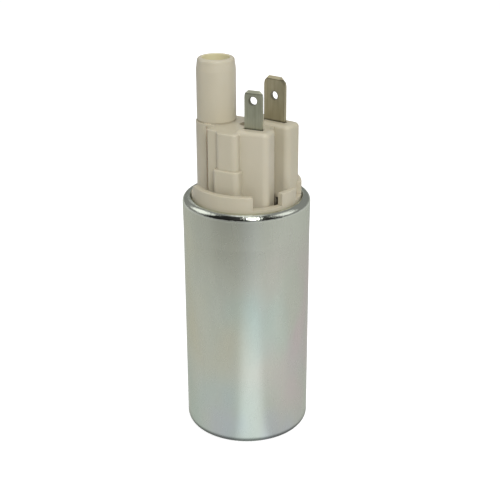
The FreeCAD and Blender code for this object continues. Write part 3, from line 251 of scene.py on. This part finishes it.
def make_moulded_cap():
    """Beige filled plastic, satin: faint flow clouds, a fine grain, painted shade in creases and in the
    foot pocket, painted light on the column slot's walls, and a bore painted lighter and yellower.
    """
    dark_beige, light_beige = (0.475, 0.435, 0.325), (0.515, 0.472, 0.365)
    speck_colour, painted_bore_light, painted_slot_light = (0.36, 0.32, 0.24), (0.66, 0.61, 0.37), (0.85, 0.76, 0.6)
    painted_crease_shade, painted_pocket_shade = (0.25, 0.21, 0.13), (0.07, 0.055, 0.035)
    in_plan = (1.0, 1.0, 0.0)
    crease_width = 1.6 * MM
    surface = Surface("moulded_cap", 0.0, 0.42)
    clouds = surface.noise((70.0, 70.0, 40.0), detail=4.0)
    base = surface.blend(surface.ramp(clouds, 0.3, 0.7), dark_beige, light_beige)
    specks = surface.noise((1500.0, 1500.0, 1500.0), detail=2.0, shift=2.0)
    base = surface.blend(surface.ramp(specks, 0.66, 0.8, 0.0, 0.35), base, speck_colour)
    # Painted light: the outlet bore's inner wall is made lighter and yellower than the rest of the cap.
    bore = surface.ramp(surface.reach(outlet_axis, along=in_plan), 3.9 * MM, 4.5 * MM, 0.9, 0.0)
    base = surface.blend(bore, base, painted_bore_light)
    # Painted shade: creases are darkened by how closed in they are.
    openness = surface.openness(crease_width)
    crease_shade = surface.ramp(openness, 0.2, 0.75, 0.35, 0.0)
    base = surface.blend(crease_shade, base, painted_crease_shade)
    # Painted light: the walls of the slot beside the column are made pale where it is closed in, lifting
    # its shade.
    slot = surface.ramp(surface.reach(column_slot, along=in_plan), 1.2 * MM, 1.5 * MM, 1.0, 0.0)
    slot_light = surface.maths("MULTIPLY", slot, surface.ramp(openness, 0.3, 0.6, 0.9, 0.0))
    base = surface.blend(slot_light, base, painted_slot_light)
    # Painted shade: the pocket at the foot of the rear tower is made near black where it is closed in.
    pocket = surface.ramp(surface.reach(foot_pocket), 1.8 * MM, 3.2 * MM, 0.9, 0.0)
    pocket_shade = surface.maths("MULTIPLY", pocket, surface.ramp(openness, 0.4, 0.75, 1.0, 0.0))
    surface.colour(surface.blend(pocket_shade, base, painted_pocket_shade))
    gloss = surface.noise((300.0, 300.0, 300.0), detail=3.0, shift=5.0)
    surface.roughness(surface.ramp(gloss, 0.3, 0.7, 0.30, 0.42))
    grain = surface.noise((2200.0, 2200.0, 2200.0), detail=2.0, shift=7.0)
    surface.bump(grain, 0.01 * MM)
    surface.shader.inputs["Subsurface Weight"].default_value = 0.08
    surface.shader.inputs["Subsurface Radius"].default_value = (1.2 * MM, 0.8 * MM, 0.5 * MM)
    return surface


def make_blade_metal(name, node, hole_drop, dull, bright):
    """Tinned sheet brass: rolled lines along the strip, cloudy tarnish, a painted highlight on the
    bevelled tip with a painted shadow under it, and painted shade round the hole and at the foot.
    """
    low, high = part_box(node)
    middle = (low + high) / 2
    hole = Vector((middle.x, middle.y, high.z - hole_drop))
    hole_edge, shade_ring_edge = 1.2 * MM, 1.55 * MM
    tip_foot = high.z - 0.75 * MM
    painted_shade_colour, line_colour = tuple(0.3 * c for c in dull), tuple(0.6 * c for c in dull)
    painted_tip_highlight = tuple(1.45 * c for c in bright)
    surface = Surface(name, 0.7, 0.36)
    tarnish = surface.noise((160.0, 160.0, 90.0), detail=4.0)
    base = surface.blend(surface.ramp(tarnish, 0.35, 0.65), dull, bright)
    lines = surface.noise((2600.0, 2600.0, 120.0), detail=2.0, shift=3.0)
    base = surface.blend(surface.ramp(lines, 0.4, 0.75, 0.0, 0.35), base, line_colour)
    # Painted highlight: the bevelled tip is made lighter than the strip.
    tip_highlight = surface.ramp(surface.height(), tip_foot - 0.05 * MM, tip_foot + 0.1 * MM)
    base = surface.blend(tip_highlight, base, painted_tip_highlight)
    # Painted shadow: a thin dark line just below the tip's bevel.
    shadow_under_tip = surface.ramp(surface.height(), tip_foot - 0.45 * MM, tip_foot - 0.1 * MM, 0.0, 0.5)
    shadow_under_tip = surface.maths("MULTIPLY", shadow_under_tip, surface.maths("SUBTRACT", 1.0, tip_highlight))
    base = surface.blend(shadow_under_tip, base, painted_shade_colour)
    # Painted shade and dark reflection: a dark ring round the hole's edge.
    hole_rim_shade = surface.ramp(surface.reach(hole, along=(1.0, 0.0, 1.0)), hole_edge, shade_ring_edge, 0.7, 0.0)
    base = surface.blend(hole_rim_shade, base, painted_shade_colour)
    # Painted shade: the blade is darkened just above the deck, where it enters its tower.
    foot = surface.ramp(surface.height(), cap_deck + 0.6 * MM, cap_deck + 1.3 * MM, 0.8, 0.0)
    surface.colour(surface.blend(foot, base, painted_shade_colour))
    surface.roughness(surface.ramp(lines, 0.3, 0.7, 0.3, 0.44))
    surface.bump(lines, 0.006 * MM)
    return surface


surfaces = {
    "zinc_plated_steel": make_zinc_plate(),
    "moulded_cap": make_moulded_cap(),
    "terminal_wide": make_blade_metal("tinned_brass_wide", "terminal_wide", 5.6 * MM,
                                      (0.385, 0.35, 0.23), (0.495, 0.45, 0.305)),
    "terminal_narrow": make_blade_metal("tinned_brass_narrow", "terminal_narrow", 2.9 * MM,
                                        (0.36, 0.37, 0.27), (0.48, 0.49, 0.37)),
    "rubber": cloudy("black_rubber", (0.012, 0.012, 0.013), (0.03, 0.03, 0.03), (200.0,) * 3,
                     roughness=0.6, relief=0.01 * MM),
    "ferrite": cloudy("dark_ferrite", (0.03, 0.03, 0.033), (0.07, 0.07, 0.075), (400.0,) * 3,
                      roughness=0.55, relief=0.01 * MM),
    "copper_wire": cloudy("enamelled_copper", (0.42, 0.14, 0.05), (0.62, 0.26, 0.1), (300.0,) * 3,
                          metallic=0.9, roughness=0.28),
    "carbon": cloudy("pressed_carbon", (0.02, 0.02, 0.022), (0.05, 0.05, 0.052), (500.0,) * 3,
                     metallic=0.2, roughness=0.5, relief=0.01 * MM),
    "spring_steel": cloudy("spring_wire", (0.42, 0.42, 0.43), (0.6, 0.6, 0.6), (300.0,) * 3,
                           metallic=1.0, roughness=0.28),
    "ground_steel": cloudy("ground_steel", (0.5, 0.5, 0.51), (0.62, 0.62, 0.62), (300.0, 300.0, 60.0),
                           metallic=1.0, roughness=0.22),
    "core_steel": cloudy("core_sheets", (0.2, 0.2, 0.21), (0.36, 0.35, 0.34), (120.0, 120.0, 1600.0),
                         metallic=0.9, roughness=0.45, relief=0.01 * MM),
    "inner_plastic": cloudy("black_moulding", (0.02, 0.02, 0.021), (0.045, 0.045, 0.046), (150.0,) * 3,
                            roughness=0.45, relief=0.005 * MM),
    "copper_segment": cloudy("turned_copper", (0.55, 0.24, 0.12), (0.7, 0.36, 0.2), (300.0,) * 3,
                             metallic=1.0, roughness=0.25),
    "bronze": cloudy("sintered_bronze", (0.3, 0.18, 0.07), (0.5, 0.32, 0.14), (900.0,) * 3,
                     metallic=0.9, roughness=0.45, relief=0.01 * MM),
    "magnet": cloudy("ground_magnet", (0.04, 0.04, 0.043), (0.09, 0.09, 0.092), (300.0,) * 3,
                     roughness=0.5, relief=0.01 * MM),
    "die_cast": cloudy("die_cast_aluminium", (0.42, 0.42, 0.42), (0.58, 0.58, 0.57), (160.0,) * 3,
                       metallic=0.9, roughness=0.42, relief=0.012 * MM),
    "impeller_plastic": cloudy("phenolic_moulding", (0.12, 0.07, 0.035), (0.2, 0.13, 0.07), (250.0,) * 3,
                               roughness=0.45, relief=0.005 * MM),
}

for row in frame["record"]["subparts"]:
    node = nodes[row["node"]]
    node.data.materials.clear()
    node.data.materials.append(surfaces[row["material_slot"]].material)


# Studio

def seen_or_mirrored(tree, strength):
    """A strength that holds for the camera and for reflections, and is 0 for the light on things."""
    path = tree.nodes.new("ShaderNodeLightPath").outputs
    mirrored = maths_node(tree, "MAXIMUM", path["Is Glossy Ray"], path["Is Transmission Ray"])
    seen = maths_node(tree, "MAXIMUM", path["Is Camera Ray"], mirrored)
    return maths_node(tree, "MULTIPLY", seen, strength)


def make_floor():
    """A white floor that keeps the pump's shadow and is white to the camera."""
    half = 4.0
    paper_glow = 0.78
    mesh = bpy.data.meshes.new("floor")
    corners = [(-half, -half, 0.0), (half, -half, 0.0), (half, half, 0.0), (-half, half, 0.0)]
    mesh.from_pydata(corners, [], [(0, 1, 2, 3)])
    floor = place_in_scene("floor", mesh)
    material = bpy.data.materials.new("white_paper")
    material.use_nodes = True
    shader = material.node_tree.nodes["Principled BSDF"]
    shader.inputs["Base Color"].default_value = (0.5, 0.5, 0.5, 1.0)
    shader.inputs["Roughness"].default_value = 0.9
    shader.inputs["Emission Color"].default_value = (1.0, 1.0, 1.0, 1.0)
    glow = seen_or_mirrored(material.node_tree, paper_glow)
    material.node_tree.links.new(glow, shader.inputs["Emission Strength"])
    mesh.materials.append(material)


def make_world():
    """White to the camera and in metal, and a soft plain light on everything else."""
    soft_light = 0.42
    world = bpy.data.worlds.new("studio")
    bpy.context.scene.world = world
    world.use_nodes = True
    tree = world.node_tree
    background = tree.nodes["Background"]
    background.inputs["Color"].default_value = (1.0, 1.0, 1.0, 1.0)
    total = maths_node(tree, "ADD", seen_or_mirrored(tree, 1.0 - soft_light), soft_light)
    tree.links.new(total, background.inputs["Strength"])


def add_lamp(name, azimuth, elevation, distance, width, height, light_level, mirrored=True, lights=True):
    """A soft rectangular lamp. A light level of 1 alone shows a colour that faces it as written."""
    aim = Vector((0.0, 0.0, case_top))
    light = bpy.data.lights.new(name, "AREA")
    light.shape = "RECTANGLE"
    light.size = width
    light.size_y = height
    light.energy = light_level * (math.pi * distance) ** 2
    lamp = place_in_scene(name, light)
    away = direction(azimuth, elevation)
    lamp.location = aim + away * distance
    lamp.rotation_mode = "QUATERNION"
    lamp.rotation_quaternion = (-away).to_track_quat("-Z", "Y")
    lamp.visible_glossy = mirrored
    lamp.visible_diffuse = lights


def make_mirrored_stage(name, mesh, material):
    """A thing of the studio that shows in the metal alone."""
    mesh.materials.append(material)
    thing = place_in_scene(name, mesh)
    thing.visible_camera = False
    thing.visible_diffuse = False
    thing.visible_shadow = False


def glow_by(mesh, surface, strength, colour=None):
    """Make a thing of the studio glow by itself, so that no lamp changes how the metal shows it."""
    surface.shader.inputs["Base Color"].default_value = (0.0, 0.0, 0.0, 1.0)
    surface.shader.inputs["Specular IOR Level"].default_value = 0.0
    surface.shader.inputs["Emission Color"].default_value = (1.0, 1.0, 1.0, 1.0)
    if colour is not None:
        surface.join(colour, surface.shader.inputs["Emission Color"])
    surface.join(strength, surface.shader.inputs["Emission Strength"])
    make_mirrored_stage(mesh.name, mesh, surface.material)


def make_room():
    """Painted reflection of the room round the pump, a glow seen in the metal alone: dark in front of it,
    grey at the sides, and a bright backdrop behind.
    """
    radius, top_elevation = 0.9, 76.0
    dark_side, backdrop_side = -5.0, -171.0
    columns, rows = 66, 19
    corners = []
    for row in range(rows + 1):
        for column in range(columns + 1):
            azimuth = 360.0 * column / columns - 180.0
            corners.append(direction(azimuth, top_elevation * row / rows) * radius)
    faces = []
    for row in range(rows):
        for column in range(columns):
            start = row * (columns + 1) + column
            faces.append((start, start + 1, start + columns + 2, start + columns + 1))
    mesh = bpy.data.meshes.new("room")
    mesh.from_pydata(corners, [], faces)
    surface = Surface("painted_room_glow", 0.0, 0.9)
    walls = surface.ramp(surface.bearing(dark_side), 0.15, 0.45, 0.30, 0.02)
    backdrop = surface.ramp(surface.bearing(backdrop_side), 0.95, 0.975, 0.0, 0.9)
    upper = surface.ramp(surface.height(), 0.46 * radius, 0.58 * radius)
    high_backdrop = surface.maths("MULTIPLY", backdrop, upper)
    glow_by(mesh, surface, surface.maths("MAXIMUM", walls, high_backdrop))


def make_floor_glow():
    """Painted reflection of the floor, a glow seen in the metal alone: like lit paper, with a painted
    ridge and pool of light, a painted shaded side, and a painted contact shadow round the pump's foot.
    """
    inner, outer = 0.017, 0.7
    steps = 96
    lift = Vector((0.0, 0.0, 0.1 * MM))
    ridge_side, pool_side, shaded_side = 6.0, 38.0, -28.0
    pool_distance = 0.12
    paper_level = 0.69
    corners = []
    for step in range(steps):
        away = direction(360.0 * step / steps)
        corners += [away * inner + lift, away * outer + lift]
    faces = []
    for step in range(steps):
        following = (step + 1) % steps
        faces.append((2 * step, 2 * step + 1, 2 * following + 1, 2 * following))
    mesh = bpy.data.meshes.new("floor_glow")
    mesh.from_pydata(corners, [], faces)
    surface = Surface("glowing_paper", 0.0, 0.9)
    distance = surface.reach(Vector((0.0, 0.0, 0.0)))
    turned = surface.bearing(shaded_side)
    shade = surface.maths("ADD", surface.ramp(turned, -0.2, 0.6, 0.0, 0.15),
                          surface.ramp(turned, 0.7, 1.0, 0.0, 0.17))
    shade = surface.maths("MULTIPLY", shade, surface.ramp(distance, 0.125, 0.19))
    ridge = surface.ramp(surface.bearing(ridge_side), 0.92, 1.0)
    ridge_light = surface.maths("MULTIPLY", ridge, surface.ramp(distance, 0.05, 0.15, 0.37, 0.02))
    near_pool = surface.ramp(surface.bearing(pool_side), 0.72, 0.95)
    pool = surface.ramp(surface.reach(direction(pool_side) * pool_distance), 0.03, 0.10, 0.13, 0.0)
    pool_light = surface.maths("MULTIPLY", near_pool, pool)
    lit = surface.maths("ADD", ridge_light, pool_light)
    lit = surface.maths("ADD", lit, surface.maths("SUBTRACT", paper_level, shade))
    # Painted shadow: the glow is dimmed next to the pump's foot.
    painted_contact_shadow = surface.ramp(distance, 0.019, 0.022, 0.3, 1.0)
    tint = surface.blend(ridge, (1.0, 1.0, 1.0), (0.99, 1.0, 1.05))
    glow_by(mesh, surface, surface.maths("MULTIPLY", lit, painted_contact_shadow), tint)


make_floor()
make_world()
make_room()
make_floor_glow()
add_lamp("key_lamp", azimuth=9.0, elevation=33.0, distance=0.5, width=0.2, height=0.2,
         light_level=0.66, mirrored=False)
add_lamp("window", azimuth=13.0, elevation=40.0, distance=0.5, width=0.09, height=0.42,
         light_level=0.4, lights=False)
add_lamp("left_lamp", azimuth=-100.0, elevation=35.0, distance=0.6, width=0.4, height=0.4,
         light_level=0.14)
add_lamp("right_lamp", azimuth=80.0, elevation=35.0, distance=0.6, width=0.4, height=0.4,
         light_level=0.12)
add_lamp("top_lamp", azimuth=0.0, elevation=86.0, distance=0.6, width=0.3, height=0.3,
         light_level=0.12, mirrored=False)
add_lamp("back_lamp", azimuth=170.0, elevation=25.0, distance=0.6, width=0.5, height=0.4,
         light_level=0.3, mirrored=False)


# Camera, as the photograph's

def make_camera():
    """The photograph's camera: an 80 mm lens, 23 degrees down, 30 degrees to the terminals' side."""
    data = bpy.data.cameras.new("camera")
    data.lens = 80.0
    data.sensor_width = 36.0
    data.clip_start = 0.01
    data.clip_end = 20.0
    camera = place_in_scene("camera", data)
    roll = math.radians(-0.18)
    distance = 0.339
    aside, aim_height = 1.01 * MM, 57.3 * MM
    aim = direction(90.0) * aside + Vector((0.0, 0.0, aim_height))
    away = direction(0.0, camera_pitch)
    camera.location = aim + away * distance
    camera.rotation_mode = "QUATERNION"
    level = (-away).to_track_quat("-Z", "Y")
    camera.rotation_quaternion = level @ Quaternion((0.0, 0.0, 1.0), roll)
    bpy.context.scene.camera = camera


make_camera()
bpy.context.scene.view_settings.view_transform = "Standard"
